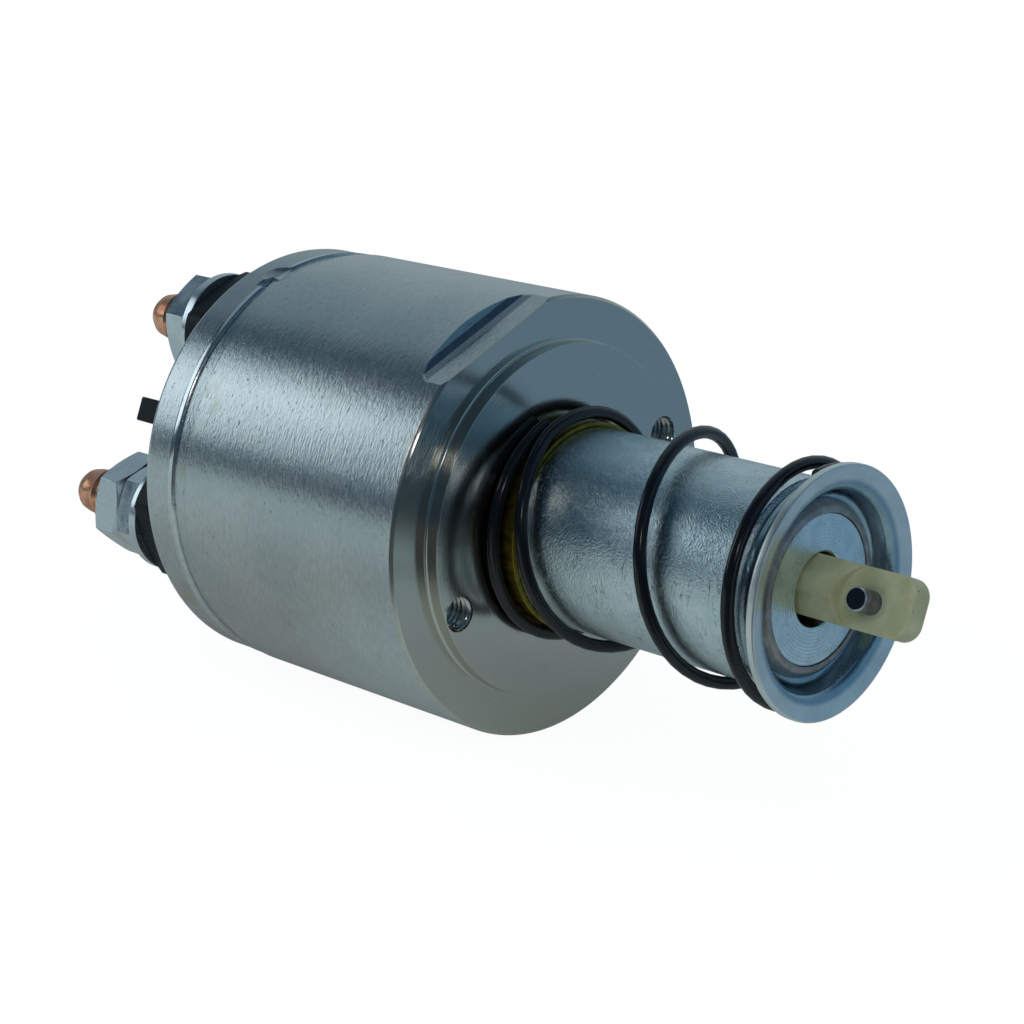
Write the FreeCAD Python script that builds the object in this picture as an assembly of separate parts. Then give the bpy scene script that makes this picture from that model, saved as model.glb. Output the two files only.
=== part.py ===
import FreeCAD, Part
import math
import os

# Starter solenoid. A turned steel pot holds two windings on a spool round a guide sleeve.
# A black terminal cap is crimped into its rear, and a steel plunger slides in its front,
# with a return spring, a pressed spring cup and a nylon link that pulls the starter's fork.
# Frame: millimetres. The origin is the centre of the front boss face, +X runs along the
# plunger towards the link, and +Z is up. Angles are about +X, from +Y towards +Z.

# Housing
housing_radius = 30.0
housing_length = 49.7
housing_wall = 3.0
front_wall = 10.0
front_chamfer = 0.5
pilot_step = 6.3
pilot_height = 2.05
pilot_bevel = 0.2
clocking = 22.4
hole_edge_distance = 8.55
hole_radius = 2.5
hole_floor = 2.4
hole_countersink = 0.35
flat_depth = 2.0
flat_length = 5.1
flat_corner_radius = 1.6

# Rear skirt of the housing, thinned and rolled over the cap
skirt_wall = 1.4
lip_thickness = 1.4
lip_width = 1.7
lip_bevel = 0.8
band_length = 6.3
band_inset = 0.2
groove_width = 2.3
groove_depth = 0.55
groove_line_depth = 0.35
groove_line_width = 0.5
stake_angle = 108.0
stake_radius = 2.6
stake_depth = 0.9

# Fits
press_gap = 0.03
running_gap = 0.05
seat_gap = 0.1
free_gap = 0.3

# Guide sleeve, spool and windings
sleeve_wall = 0.55
sleeve_protrusion = 3.9
spool_wall = 1.0
spool_flange = 1.5
winding_margin = 1.2

# Fixed core
core_disc_thickness = 3.5
core_plug_length = 13.1
core_plug_chamfer = 1.0

# Plunger, its nose and the disc peened into it
plunger_share = 0.4467
plunger_reach = 39.6
plunger_travel = 10.0
plunger_air_gap = 0.4
plunger_chamfer = 0.6
plunger_floor = 19.5
chamber_ledge = 1.2
chamber_cone = 1.2
nose_shoulder = 2.6
nose_height = 2.6
nose_wall = 1.2
peen_lip = 0.5
peen_height = 0.9
retainer_sink = 0.2
retainer_thickness = 2.5
retainer_bevel = 0.3

# Spring cup, pressed from sheet
cup_sheet = 1.2
cup_depth = 4.95
cup_flare = 0.75
cup_taper = 0.8
cup_inner_bend = 0.5
cup_outer_bend = 0.9
cup_rim_overhang = 0.25

# Return spring
spring_wire = 1.7
spring_fit = 0.5
spring_front_turns = 0.95
spring_active_turns = 1.82
spring_rear_turns = 1.19
spring_front_rise = 1.75
spring_rear_rise = 3.7
spring_start_angle = 88.0
spring_bow = 0.45
wire_sides = 6

# Nylon link and its cross pin
link_share = 0.582
link_shank_relief = 0.4
link_shank_land = 2.0
link_blade_depth = 3.4
link_extension = 14.2
link_corner_radius = 2.4
link_edge_bevel = 0.5
link_lift = 0.4
link_hole_gap = 0.45
link_head_gap = 0.8
link_head_thickness = 4.6
pad_radius = 4.6
pin_end_distance = 5.6
pin_offset = 0.3
pin_radius = 1.5
pin_grip = 0.2
pin_protrusion = 3.5
pin_chamfer = 0.2
engagement_wire = 1.7
engagement_turns = 4.5

# Contact set
contact_travel = 2.2
contact_disc_gap = 2.1
contact_disc_thickness = 1.8
contact_rod_radius = 2.4
contact_rod_bevel = 0.4
contact_collar_width = 2.0
contact_collar_thickness = 0.8
contact_spring_wire = 0.8
contact_spring_length = 2.4
contact_spring_turns = 1.5
bush_wall = 1.3
bush_flange = 2.0
clip_width = 1.8
clip_thickness = 0.7
clip_mouth = 2.4
rod_tail = 1.0
opening_spring_wire = 0.8
opening_spring_turns = 2.0

# Terminal cap
seal_thickness = 1.2
seal_width = 2.4
cap_flange = 4.65
cap_wall = 1.5
cap_reach = 5.3
cap_bevel = 3.0
tail_pocket_floor = 1.5
tail_pocket_gap = 0.6
pedestal_radius = 8.6
pedestal_height = 1.6
barrier_angle = 158.6
barrier_width = 3.4
barrier_length = 16.7
barrier_edge_distance = 4.3
barrier_height = 3.0
barrier_bevel = 0.6

# Terminals
stud_edge_distance = 10.3
stud_radius = 4.0
stud_thread_depth = 0.4
stud_head_radius = 5.0
stud_head_thickness = 2.5
stud_head_bevel = 0.4
stud_point_radius = 3.4
stud_point_length = 4.8
stud_point_roundness = 0.94
battery_stud_free = 9.6
motor_stud_free = 8.3
nut_across_flats = 13.0
nut_crown_radius = 6.25
nut_height = 6.0
thin_nut_height = 4.4
terminal_washer_radius = 8.0
terminal_washer_thickness = 1.5
upper_nut_turn = 20.0
motor_nut_turn = 45.0
lower_nut_turn = 2.0
blade_width = 6.3
blade_thickness = 0.8
blade_edge_distance = 13.0
blade_reach = 15.0
blade_foot = 4.0
blade_bevel = 1.0
blade_eye_radius = 1.1
blade_eye_distance = 3.2

# Radii and widths that follow from the sizes above
plunger_radius = plunger_share * housing_radius
link_width = link_share * plunger_radius
link_shank_depth = link_width - link_shank_relief
pilot_radius = housing_radius - pilot_step
hole_circle_radius = housing_radius - hole_edge_distance
bore_radius = housing_radius - housing_wall
skirt_inner_radius = housing_radius - skirt_wall
lip_radius = skirt_inner_radius - lip_width
cap_body_radius = lip_radius - free_gap
cap_chamber_radius = cap_body_radius - cap_wall
contact_disc_radius = cap_chamber_radius - contact_disc_gap
contact_collar_radius = contact_rod_radius + contact_collar_width
bush_radius = contact_rod_radius + press_gap + bush_wall
clip_radius = contact_rod_radius + clip_width
stud_circle_radius = housing_radius - stud_edge_distance
barrier_outer_radius = housing_radius - barrier_edge_distance
blade_radius = housing_radius - blade_edge_distance
thread_radius = stud_radius - stud_thread_depth
sleeve_inner_radius = plunger_radius + running_gap
sleeve_outer_radius = sleeve_inner_radius + sleeve_wall
spool_inner_radius = sleeve_outer_radius + press_gap
winding_inner_radius = spool_inner_radius + spool_wall + press_gap
winding_outer_radius = bore_radius - free_gap - winding_margin
winding_split = (winding_inner_radius + winding_outer_radius) / 2
nose_radius = plunger_radius - nose_shoulder
retainer_radius = nose_radius - nose_wall
chamber_radius = retainer_radius - chamber_ledge
retainer_hole_radius = link_width / 2 + link_lift + link_hole_gap
link_head_radius = chamber_radius - link_head_gap
cup_neck_radius = plunger_radius + free_gap
spring_radius = cup_neck_radius + spring_fit + spring_wire / 2
cup_rim_radius = spring_radius + spring_wire / 2 + cup_rim_overhang

# Places along X that follow
X_AXIS = FreeCAD.Vector(1, 0, 0)
Y_AXIS = FreeCAD.Vector(0, 1, 0)
Z_AXIS = FreeCAD.Vector(0, 0, 1)
ORIGIN = FreeCAD.Vector(0, 0, 0)
annulus_x = -pilot_height
rear_x = annulus_x - housing_length
lip_front_x = rear_x + lip_thickness
cap_flange_front_x = lip_front_x + cap_flange
core_rear_x = cap_flange_front_x + seal_thickness
core_front_x = core_rear_x + core_disc_thickness
core_face_x = core_front_x + core_plug_length
plunger_rear_x = core_face_x + plunger_travel + plunger_air_gap
nose_x = plunger_reach + nose_height
retainer_front_x = nose_x - retainer_sink
retainer_back_x = retainer_front_x - retainer_thickness
chamber_x = plunger_rear_x + plunger_floor
cup_rim_x = plunger_reach + cup_depth
spring_seat_x = cup_rim_x - cup_flare - cup_sheet
link_head_back_x = chamber_x + 3 * free_gap
link_head_front_x = link_head_back_x + link_head_thickness
link_reach = nose_x + link_extension
pin_x = link_reach - pin_end_distance
rod_tip_x = plunger_rear_x - plunger_travel + contact_travel - free_gap
collar_front_x = core_rear_x - free_gap
collar_back_x = collar_front_x - contact_collar_thickness
disc_front_x = collar_back_x - contact_spring_length
disc_rear_x = disc_front_x - contact_disc_thickness
bush_back_x = disc_rear_x - bush_wall
clip_back_x = bush_back_x - clip_thickness
rod_end_x = clip_back_x - rod_tail
head_face_x = disc_rear_x - contact_travel
chamber_end_x = head_face_x - stud_head_thickness
cap_top_x = rear_x - cap_reach
pedestal_top_x = cap_top_x - pedestal_height
barrier_top_x = cap_top_x - barrier_height
washer_back_x = pedestal_top_x - terminal_washer_thickness
lower_nut_back_x = washer_back_x - thin_nut_height
battery_nut_back_x = lower_nut_back_x - nut_height
motor_nut_back_x = washer_back_x - nut_height


def polar(radius, angle):
    """Y and Z of a point at a radius and an angle about +X."""
    turn = math.radians(angle)
    return radius * math.cos(turn), radius * math.sin(turn)


def corner_path(last, here, following, style, size):
    """The points that replace one corner: one if sharp, two if bevelled, three if rounded."""
    if style == "sharp":
        return [here]
    to_last = (last - here).normalize()
    to_next = (following - here).normalize()
    if style == "bevel":
        return [here + to_last * size, here + to_next * size]
    half = 0.5 * to_last.getAngle(to_next)
    setback = size / math.tan(half)
    inward = (to_last + to_next).normalize()
    middle = here + inward * (size / math.sin(half) - size)
    return [here + to_last * setback, middle, here + to_next * setback]


def outline(corners):
    """A closed wire in the X, Z plane through (x, z) corners, plain or with a style and size."""
    points = [FreeCAD.Vector(corner[0], 0, corner[1]) for corner in corners]
    edges = []
    paths = []
    for index, corner in enumerate(corners):
        style, size = corner[2:] if len(corner) > 2 else ("sharp", 0)
        following = points[(index + 1) % len(points)]
        paths.append(corner_path(points[index - 1], points[index], following, style, size))
    for index, path in enumerate(paths):
        if len(path) == 3:
            edges.append(Part.Arc(*path).toShape())
        if len(path) == 2:
            edges.append(Part.LineSegment(*path).toShape())
        start = paths[(index + 1) % len(paths)][0]
        if path[-1].distanceToPoint(start) > 1e-6:
            edges.append(Part.LineSegment(path[-1], start).toShape())
    return Part.Wire(edges)


def turned(corners):
    """A solid of revolution about the X axis from its (x, radius) corners."""
    return Part.Face(outline(corners)).revolve(ORIGIN, X_AXIS, 360)


def tube(front_x, back_x, outer_radius, inner_radius):
    """A plain ring between two places along X."""
    corners = [(front_x, outer_radius), (back_x, outer_radius),
               (back_x, inner_radius), (front_x, inner_radius)]
    return turned(corners)


def rod(front_x, back_x, radius, y=0.0, z=0.0):
    """A plain round bar along X with its axis at y, z."""
    base = FreeCAD.Vector(back_x, y, z)
    return Part.makeCylinder(radius, front_x - back_x, base, X_AXIS)


def turn_to(shape, angle):
    """The shape turned about the X axis."""
    turned_shape = shape.copy()
    turned_shape.rotate(ORIGIN, X_AXIS, angle)
    return turned_shape


def coil_along(points, wire):
    """Wire swept along a smooth curve through the points, with a many-sided section."""
    curve = Part.BSplineCurve()
    curve.interpolate(points)
    path = Part.Wire([curve.toShape()])
    circle = Part.Circle(points[0], curve.tangent(curve.FirstParameter)[0], wire / 2)
    ring = [circle.value(2 * math.pi * side / wire_sides) for side in range(wire_sides + 1)]
    return path.makePipeShell([Part.makePolygon(ring)], True, True)


def plain_coil(front_x, back_x, radius, wire, turns):
    """A compression spring along X between two seats, with evenly wound turns."""
    steps = round(10 * turns)
    first = front_x - wire / 2 - seat_gap
    last = back_x + wire / 2 + seat_gap
    points = []
    for step in range(steps + 1):
        y, z = polar(radius, 360 * turns * step / steps)
        points.append(FreeCAD.Vector(first + (last - first) * step / steps, y, z))
    return coil_along(points, wire)


def hex_nut(front_x, height, turn, angle):
    """A chamfered hexagon nut on a terminal stud, given by its face nearest the housing."""
    corner = nut_across_flats / math.sqrt(3)
    y, z = polar(stud_circle_radius, angle)
    ring = []
    for side in range(7):
        dy, dz = polar(corner, turn + 60 * side)
        ring.append(FreeCAD.Vector(front_x - height, y + dy, z + dz))
    prism = Part.Face(Part.makePolygon(ring)).extrude(FreeCAD.Vector(height, 0, 0))
    bevel = (corner - nut_crown_radius) * math.tan(math.radians(30))
    form = turned([(front_x, 0), (front_x, nut_crown_radius), (front_x - bevel, corner),
                   (front_x - height + bevel, corner), (front_x - height, nut_crown_radius),
                   (front_x - height, 0)])
    form.translate(FreeCAD.Vector(0, y, z))
    hole = rod(front_x + height, front_x - 2 * height, thread_radius + press_gap, y, z)
    return prism.common(form).cut(hole)


def make_housing():
    """One turned steel pot: pilot boss, thick front wall, and a skirt rolled over the cap."""
    band_radius = housing_radius - band_inset
    groove_radius = housing_radius - groove_depth
    band_x = rear_x + band_length
    groove_x = band_x + groove_width
    line_x = groove_x + groove_line_width
    line_radius = groove_radius - groove_line_depth
    bore_x = -front_wall
    sleeve_hole = spool_inner_radius
    body = turned([
        (0, sleeve_hole), (0, pilot_radius, "bevel", pilot_bevel), (annulus_x, pilot_radius),
        (annulus_x, housing_radius - front_chamfer),
        (annulus_x - front_chamfer, housing_radius),
        (line_x, housing_radius), (groove_x + groove_line_width / 2, line_radius),
        (groove_x, groove_radius), (band_x, groove_radius), (band_x - groove_depth, band_radius),
        (rear_x, band_radius, "bevel", lip_bevel), (rear_x, lip_radius),
        (lip_front_x, lip_radius), (lip_front_x, skirt_inner_radius),
        (core_front_x, skirt_inner_radius), (core_front_x, bore_radius),
        (bore_x, bore_radius), (bore_x, sleeve_hole)])
    return body.cut(chord_cut()).cut(mounting_holes()).cut(stake_dent())


def chord_cut():
    """The milled flat on the front edge, with a rounded inner corner."""
    floor_z = housing_radius - flat_depth
    wall_x = annulus_x - flat_length
    above = housing_radius + flat_depth
    section = outline([(0, floor_z), (wall_x, floor_z, "round", flat_corner_radius),
                       (wall_x, above), (0, above)])
    cutter = Part.Face(section).extrude(FreeCAD.Vector(0, 2 * housing_radius, 0))
    cutter.translate(FreeCAD.Vector(0, -housing_radius, 0))
    return turn_to(cutter, clocking)


def mounting_holes():
    """Two blind holes for the mounting screws, with a small countersink each."""
    holes = []
    for angle in (clocking, clocking + 180):
        y, z = polar(hole_circle_radius, angle)
        floor_x = hole_floor - front_wall
        point = hole_radius * math.tan(math.radians(30))
        mouth = hole_radius + hole_countersink
        form = turned([(mouth, 0), (mouth, mouth), (0, mouth), (-hole_countersink, hole_radius),
                       (floor_x, hole_radius), (floor_x - point, 0)])
        form.translate(FreeCAD.Vector(0, y, z))
        holes.append(form)
    return Part.makeCompound(holes)


def stake_dent():
    """The dent punched into the rear band, which locks the skirt to the cap."""
    centre = FreeCAD.Vector(rear_x + band_length, 0, housing_radius - stake_depth)
    punch = Part.makeCone(stake_radius / 2, 2 * stake_radius, 1.5 * stake_radius, centre)
    return turn_to(punch, stake_angle - 90)


def make_sleeve():
    """The thin yellow-metal tube that guides the plunger and carries the spool."""
    end_x = core_front_x + seat_gap
    return turned([(sleeve_protrusion, sleeve_inner_radius), (sleeve_protrusion, sleeve_outer_radius),
                   (end_x, sleeve_outer_radius), (end_x, sleeve_inner_radius)])


def spool_ends():
    """Front and rear faces of the spool, against the front wall and the core disc."""
    return -front_wall - seat_gap, core_front_x + seat_gap


def make_spool():
    """The moulded spool: a tube with a flange at each end."""
    front_x, back_x = spool_ends()
    inner = spool_inner_radius
    barrel = inner + spool_wall
    flange = bore_radius - free_gap
    return turned([(front_x, inner), (front_x, flange), (front_x - spool_flange, flange),
                   (front_x - spool_flange, barrel), (back_x + spool_flange, barrel),
                   (back_x + spool_flange, flange), (back_x, flange), (back_x, inner)])


def make_winding(inner_radius, outer_radius):
    """One copper winding between the spool's flanges, as the ring that it fills."""
    front_x, back_x = spool_ends()
    inset = spool_flange + seat_gap
    return tube(front_x - inset, back_x + inset, outer_radius, inner_radius)


def make_core():
    """The fixed core: a plug inside the sleeve and the disc that closes the iron circuit."""
    plug = plunger_radius
    bore = contact_rod_radius + running_gap
    return turned([(core_face_x, bore), (core_face_x, plug - core_plug_chamfer),
                   (core_face_x - core_plug_chamfer, plug), (core_front_x, plug),
                   (core_front_x, skirt_inner_radius - press_gap),
                   (core_rear_x, skirt_inner_radius - press_gap), (core_rear_x, bore)])


def make_seal():
    """The rubber ring between the core disc and the cap's flange."""
    outer = skirt_inner_radius - free_gap
    return tube(core_rear_x, cap_flange_front_x, outer, outer - seal_width)


def make_cap():
    """The moulded terminal cap: flange under the lip, domed body, pedestals and barrier."""
    flange = skirt_inner_radius - press_gap
    pocket = contact_rod_radius + tail_pocket_gap
    shell = turned([(cap_flange_front_x, cap_chamber_radius), (cap_flange_front_x, flange),
                    (lip_front_x, flange), (lip_front_x, cap_body_radius),
                    (cap_top_x, cap_body_radius, "bevel", cap_bevel), (cap_top_x, 0),
                    (cap_top_x + tail_pocket_floor, 0), (cap_top_x + tail_pocket_floor, pocket),
                    (chamber_end_x, pocket), (chamber_end_x, cap_chamber_radius)])
    body = shell.fuse(make_barrier())
    for angle in stud_angles():
        y, z = polar(stud_circle_radius, angle)
        column = rod(cap_top_x + cap_wall, pedestal_top_x, pedestal_radius, y, z)
        body = body.fuse(column.common(rod(0, 2 * rear_x, cap_body_radius)))
        body = body.cut(rod(0, 2 * rear_x, thread_radius + running_gap, y, z))
    return body.cut(blade_slot()).removeSplitter()


def make_barrier():
    """The rib that keeps the two cable lugs apart, bevelled along its top."""
    corner = FreeCAD.Vector(barrier_top_x, barrier_outer_radius - barrier_length, -barrier_width / 2)
    fin = Part.makeBox(barrier_height + cap_wall, barrier_length, barrier_width, corner)
    top_edges = [edge for edge in fin.Edges if edge.BoundBox.XMax < barrier_top_x + press_gap]
    return turn_to(fin.makeChamfer(barrier_bevel, top_edges), barrier_angle)


def stud_angles():
    """Angles of the battery and the motor stud, at right angles to each other."""
    return clocking + 180, clocking + 90


def make_stud(angle, nut_back_x, free_length):
    """A copper stud: contact head in the cap, thread at pitch size in its nuts, and a free end."""
    tip_x = nut_back_x - free_length
    neck = stud_radius - stud_point_radius
    rounding = stud_point_roundness * stud_point_radius
    form = turned([(head_face_x, 0), (head_face_x, stud_head_radius, "bevel", stud_head_bevel),
                   (chamber_end_x, stud_head_radius), (chamber_end_x, thread_radius),
                   (nut_back_x - seat_gap, thread_radius), (nut_back_x - seat_gap, stud_radius),
                   (tip_x + stud_point_length, stud_radius),
                   (tip_x + stud_point_length - neck, stud_point_radius),
                   (tip_x, stud_point_radius, "round", rounding), (tip_x, 0)])
    y, z = polar(stud_circle_radius, angle)
    form.translate(FreeCAD.Vector(0, y, z))
    return form


def make_washers():
    """A plain zinc washer on each pedestal."""
    rings = []
    hole = stud_radius + running_gap
    for angle in stud_angles():
        y, z = polar(stud_circle_radius, angle)
        ring = tube(pedestal_top_x, washer_back_x, terminal_washer_radius, hole)
        ring.translate(FreeCAD.Vector(0, y, z))
        rings.append(ring)
    return Part.makeCompound(rings)


def make_nuts():
    """The upper nut of each terminal, which clamps the cable lug."""
    battery, motor = stud_angles()
    battery_nut = hex_nut(lower_nut_back_x, nut_height, upper_nut_turn, battery)
    motor_nut = hex_nut(washer_back_x, nut_height, motor_nut_turn, motor)
    return Part.makeCompound([battery_nut, motor_nut])


def make_lower_nut():
    """The thin nut under the battery terminal's upper nut."""
    return hex_nut(washer_back_x, thin_nut_height, lower_nut_turn, stud_angles()[0])


def blade_slot():
    """The slot in the cap that the small coil terminal passes through."""
    corner = FreeCAD.Vector(cap_top_x - cap_wall, blade_radius - blade_thickness / 2, -blade_width / 2)
    depth = chamber_end_x - cap_top_x + 2 * cap_wall
    return turn_to(Part.makeBox(depth, blade_thickness, blade_width, corner), clocking - 45)


def make_blade():
    """The push-on blade of the coil terminal, with its foot bent inside the cap."""
    back_x = rear_x - blade_reach
    foot_x = chamber_end_x + blade_thickness
    half = blade_width / 2 - press_gap
    tip = half - blade_bevel
    corners = [(foot_x, -half), (foot_x, half), (back_x + blade_bevel, half), (back_x, tip),
               (back_x, -tip), (back_x + blade_bevel, -half)]
    ring = [FreeCAD.Vector(x, 0, z) for x, z in corners]
    face = Part.Face(Part.makePolygon(ring + ring[:1]))
    thickness = blade_thickness - 2 * press_gap
    blade = face.extrude(FreeCAD.Vector(0, thickness, 0))
    blade.translate(FreeCAD.Vector(0, blade_radius - thickness / 2, 0))
    foot_corner = FreeCAD.Vector(chamber_end_x, blade_radius - blade_foot, -half)
    foot = Part.makeBox(blade_thickness, blade_foot + thickness / 2, 2 * half, foot_corner)
    eye_base = FreeCAD.Vector(back_x + blade_eye_distance, blade_radius - blade_width, 0)
    eye = Part.makeCylinder(blade_eye_radius, 2 * blade_width, eye_base, Y_AXIS)
    return turn_to(blade.fuse(foot).cut(eye).removeSplitter(), clocking - 45)


def make_plunger():
    """The steel plunger: solid rear, spring chamber and a nose peened over disc and cup."""
    hole = retainer_radius + press_gap
    lip_x = plunger_reach + cup_sheet + press_gap
    return turned([
        (plunger_rear_x, 0), (plunger_rear_x, plunger_radius - plunger_chamfer),
        (plunger_rear_x + plunger_chamfer, plunger_radius),
        (plunger_reach - plunger_chamfer, plunger_radius),
        (plunger_reach, plunger_radius - plunger_chamfer), (plunger_reach, nose_radius),
        (lip_x, nose_radius), (lip_x, nose_radius + peen_lip),
        (lip_x + peen_height / 2, nose_radius + peen_lip), (nose_x, nose_radius - peen_lip),
        (nose_x, hole), (retainer_back_x, hole), (retainer_back_x, chamber_radius),
        (chamber_x, chamber_radius), (chamber_x - chamber_cone, 0)])


def make_retainer():
    """The turned disc peened into the plunger's nose, with the hole that the link passes."""
    front_x, back_x = retainer_front_x, retainer_back_x
    return turned([(front_x, retainer_hole_radius, "bevel", retainer_bevel),
                   (front_x, retainer_radius), (back_x, retainer_radius),
                   (back_x, retainer_hole_radius)])


def make_cup():
    """The pressed spring cup: flat base, short neck and flared rim, one sheet thick."""
    base_x = plunger_reach + cup_sheet
    hole = nose_radius + press_gap
    inner_foot = cup_neck_radius - cup_sheet - cup_taper / 2
    outer_foot = cup_neck_radius - cup_taper / 2
    bend_x = cup_rim_x - cup_flare
    return turned([
        (plunger_reach, hole), (base_x, hole), (base_x, inner_foot, "bevel", cup_inner_bend),
        (bend_x, inner_foot + cup_taper, "bevel", cup_inner_bend),
        (cup_rim_x, cup_rim_radius), (cup_rim_x - cup_sheet, cup_rim_radius),
        (bend_x - cup_sheet, outer_foot + cup_taper),
        (plunger_reach, outer_foot, "bevel", cup_outer_bend)])


def make_return_spring():
    """The black return spring: a closed turn at each end and wide turns between them."""
    points_per_turn = 12
    start_x = spring_wire / 2 + seat_gap / 2
    end_x = spring_seat_x - spring_wire / 2 - seat_gap
    front_x = start_x + spring_front_rise
    rear_start_x = end_x - spring_rear_rise
    stretches = [(spring_front_turns, start_x, front_x),
                 (spring_active_turns, front_x, rear_start_x),
                 (spring_rear_turns, rear_start_x, end_x)]
    points = []
    angle = spring_start_angle
    for turns, from_x, to_x in stretches:
        steps = round(points_per_turn * turns)
        for step in range(steps):
            share = step / steps
            x = from_x + (to_x - from_x) * share
            points.append(spring_point(x, angle + 360 * turns * share, end_x))
        angle += 360 * turns
    points.append(spring_point(end_x, angle, end_x))
    return coil_along(points, spring_wire)


def spring_point(x, angle, end_x):
    """A point of the wire's centre line, on turns that bow upwards between the ends."""
    y, z = polar(spring_radius, angle)
    bow = spring_bow * math.sin(math.pi * min(max(x / end_x, 0), 1))
    return FreeCAD.Vector(x, y, z + bow)


def link_frame(shape):
    """Turns a shape from the link's own frame, with its pin along Y, to its place."""
    placed = shape.copy()
    placed.translate(FreeCAD.Vector(0, 0, link_lift))
    placed.rotate(ORIGIN, X_AXIS, -clocking)
    return placed


def make_link():
    """The nylon link: spring head, faceted shank, flat blade and the round pads at its pin."""
    half = link_width / 2
    depth = link_shank_depth / 2
    land = link_shank_land / 2
    flat = link_blade_depth / 2
    root_x = link_head_front_x - link_head_thickness / 2
    corners = [(depth, land), (flat, half), (-flat, half), (-depth, land), (-depth, -land),
               (-flat, -half), (flat, -half), (depth, -land), (depth, land)]
    ring = [FreeCAD.Vector(root_x, y, z) for y, z in corners]
    bar = Part.Face(Part.makePolygon(ring)).extrude(FreeCAD.Vector(link_reach - root_x, 0, 0))
    profile = outline([(root_x, -half), (link_reach, -half, "round", link_corner_radius),
                       (link_reach, half, "round", link_corner_radius), (root_x, half)])
    plan = Part.Face(profile).extrude(FreeCAD.Vector(0, 2 * depth, 0))
    plan.translate(FreeCAD.Vector(0, -depth, 0))
    bar = bar.common(plan)
    for way in (-1, 1):
        bar = bar.cut(blade_recess(way))
    head = turned([(link_head_back_x, 0),
                   (link_head_back_x, link_head_radius, "bevel", link_edge_bevel),
                   (link_head_front_x, link_head_radius, "bevel", link_edge_bevel),
                   (link_head_front_x, 0)])
    head.translate(FreeCAD.Vector(0, 0, -link_lift))
    hole = Part.makeCylinder(pin_radius + pin_grip + press_gap, 4 * depth,
                             FreeCAD.Vector(pin_x, -2 * depth, -pin_offset), Y_AXIS)
    return link_frame(bar.fuse(head).cut(hole).removeSplitter())


def blade_recess(way):
    """What is cut off one side of the link, round the pin and out to its end."""
    depth = link_shank_depth
    near = way * link_blade_depth / 2
    base = FreeCAD.Vector(pin_x, near, -pin_offset)
    disc = Part.makeCylinder(pad_radius, depth, base, Y_AXIS * way)
    corner = FreeCAD.Vector(pin_x, min(near, near + way * depth), -link_width)
    block = Part.makeBox(pin_end_distance + link_corner_radius, depth, 2 * link_width, corner)
    return disc.fuse(block)


def make_pin():
    """The steel cross pin: a knurled middle held by the blade, and a ground end each side."""
    middle = link_blade_depth / 2
    half = middle + pin_protrusion
    grip = pin_radius + pin_grip
    form = turned([(-half, 0), (-half, pin_radius, "bevel", pin_chamfer), (-middle, pin_radius),
                   (-middle, grip), (middle, grip), (middle, pin_radius),
                   (half, pin_radius, "bevel", pin_chamfer), (half, 0)])
    form.rotate(ORIGIN, Z_AXIS, 90)
    form.translate(FreeCAD.Vector(pin_x, 0, -pin_offset))
    return link_frame(form)


def make_engagement_spring():
    """The spring inside the plunger that lets the link lag when the pinion meets a tooth."""
    radius = chamber_radius - free_gap - engagement_wire / 2
    return plain_coil(retainer_back_x, link_head_front_x, radius, engagement_wire, engagement_turns)


def make_contact_rod():
    """The rod that the plunger pushes, with the collar that its pressure spring bears on."""
    return turned([(rod_tip_x, 0), (rod_tip_x, contact_rod_radius, "bevel", contact_rod_bevel),
                   (collar_front_x, contact_rod_radius), (collar_front_x, contact_collar_radius),
                   (collar_back_x, contact_collar_radius), (collar_back_x, contact_rod_radius),
                   (rod_end_x, contact_rod_radius, "bevel", contact_rod_bevel), (rod_end_x, 0)])


def make_contact_disc():
    """The copper disc that bridges the two stud heads."""
    return tube(disc_front_x, disc_rear_x, contact_disc_radius, bush_radius + press_gap)


def make_bush():
    """The insulating bush between the disc and the rod, with a flange behind the disc."""
    inner = contact_rod_radius + press_gap
    flange = bush_radius + bush_flange
    return turned([(disc_front_x, inner), (disc_front_x, bush_radius), (disc_rear_x, bush_radius),
                   (disc_rear_x, flange), (bush_back_x, flange), (bush_back_x, inner)])


def make_clip():
    """The open ring that holds bush and disc on the rod."""
    ring = tube(bush_back_x, clip_back_x, clip_radius, contact_rod_radius + press_gap)
    corner = FreeCAD.Vector(clip_back_x - clip_thickness, 0, -clip_mouth / 2)
    return ring.cut(Part.makeBox(3 * clip_thickness, 2 * clip_radius, clip_mouth, corner))


def make_contact_spring():
    """The spring that presses the disc on the stud heads once the plunger is home."""
    radius = contact_collar_radius - contact_spring_wire / 2
    return plain_coil(collar_back_x, disc_front_x, radius, contact_spring_wire, contact_spring_turns)


def make_opening_spring():
    """The spring between the cap and the bush that opens the contacts again."""
    radius = bush_radius + bush_flange - opening_spring_wire / 2
    return plain_coil(bush_back_x, chamber_end_x, radius, opening_spring_wire, opening_spring_turns)


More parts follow.
